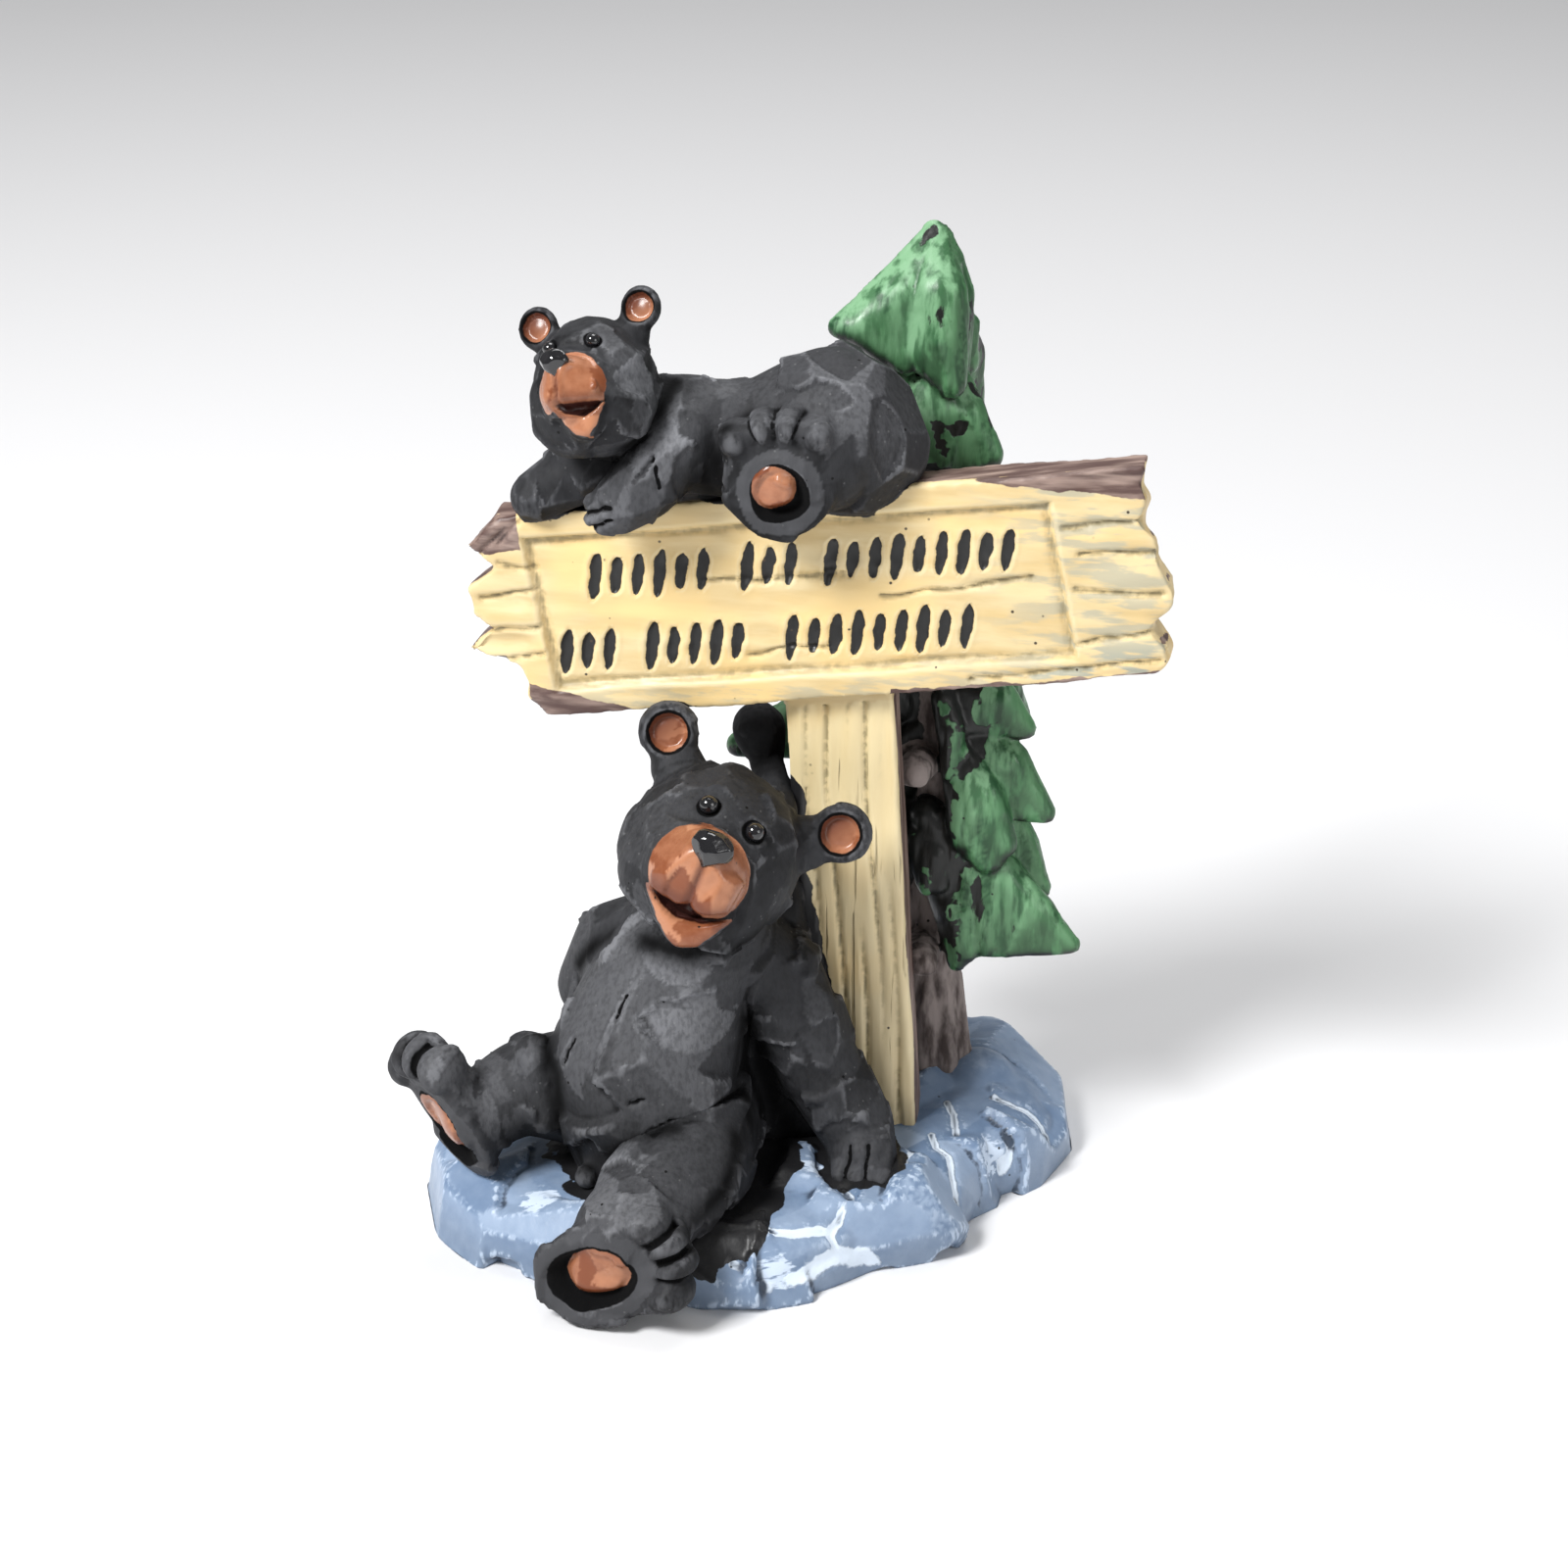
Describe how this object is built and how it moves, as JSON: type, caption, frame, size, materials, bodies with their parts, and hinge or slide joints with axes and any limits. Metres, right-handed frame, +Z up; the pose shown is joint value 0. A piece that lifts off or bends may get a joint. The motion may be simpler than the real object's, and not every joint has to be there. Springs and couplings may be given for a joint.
{
  "type": "bear figurine",
  "caption": "Cast resin ornament of a bear lounging against a signpost with a cub draped over its plank sign, beside a conifer on a rock base",
  "frame": {"origin": "on the flat underside of the rock, at the middle of the rock's length", "axes": "+Z up and the longest extent; -Y towards the viewer, the way the bears face; +X to the viewer's right"},
  "size_m": [0.0972, 0.0751, 0.1245],
  "materials": {
    "painted_resin": "hand-painted polyresin: matt black fur, cream and brown timber, green conifer, blue-grey rock"
  },
  "bodies": {
    "root": {"bear_casting": "painted_resin"}
  },
  "joints": []
}
